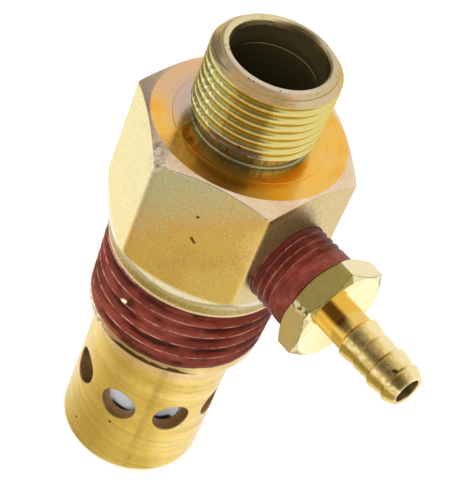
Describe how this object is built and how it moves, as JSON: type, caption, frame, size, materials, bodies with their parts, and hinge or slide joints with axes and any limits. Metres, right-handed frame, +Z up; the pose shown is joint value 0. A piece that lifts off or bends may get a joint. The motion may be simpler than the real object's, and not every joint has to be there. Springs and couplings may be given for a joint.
{
  "type": "in-tank air check valve",
  "caption": "In-tank air check valve: tube inlet, hexagonal body, sealed tapered tank thread, perforated cage with a sprung piston, and a side hose barb.",
  "frame": {"origin": "centre of the tube stop at the bottom of the inlet's tube socket, on the valve's axis", "axes": "+Z up along the valve's axis, out of the inlet; +X out of the side port along the hose barb; +Y completes a right-handed frame"},
  "size_m": [0.0416, 0.0256, 0.06],
  "materials": {
    "plated_steel": "zinc plated with yellow passivation, slightly iridescent",
    "brass": "turned brass",
    "sealant": "dark red dried thread sealant",
    "piston": "white fluoropolymer",
    "washer": "black rubber",
    "spring": "drawn stainless wire"
  },
  "bodies": {
    "housing": {"valve_body": "plated_steel", "tank_thread_sealant": "sealant", "seat_washer": "washer", "outlet_cage": "brass", "return_spring": "spring", "barb_fitting": "brass", "barb_thread_sealant": "sealant"},
    "poppet": {"check_piston": "piston"}
  },
  "joints": [
    {"name": "piston_lift", "type": "slide", "parent": "housing", "child": "poppet", "axis": [0, 0, -1], "range_m": [0, 0.004], "stiffness_N_per_m": 100, "springref_m": -0.01, "deforming": ["return_spring"]}
  ]
}
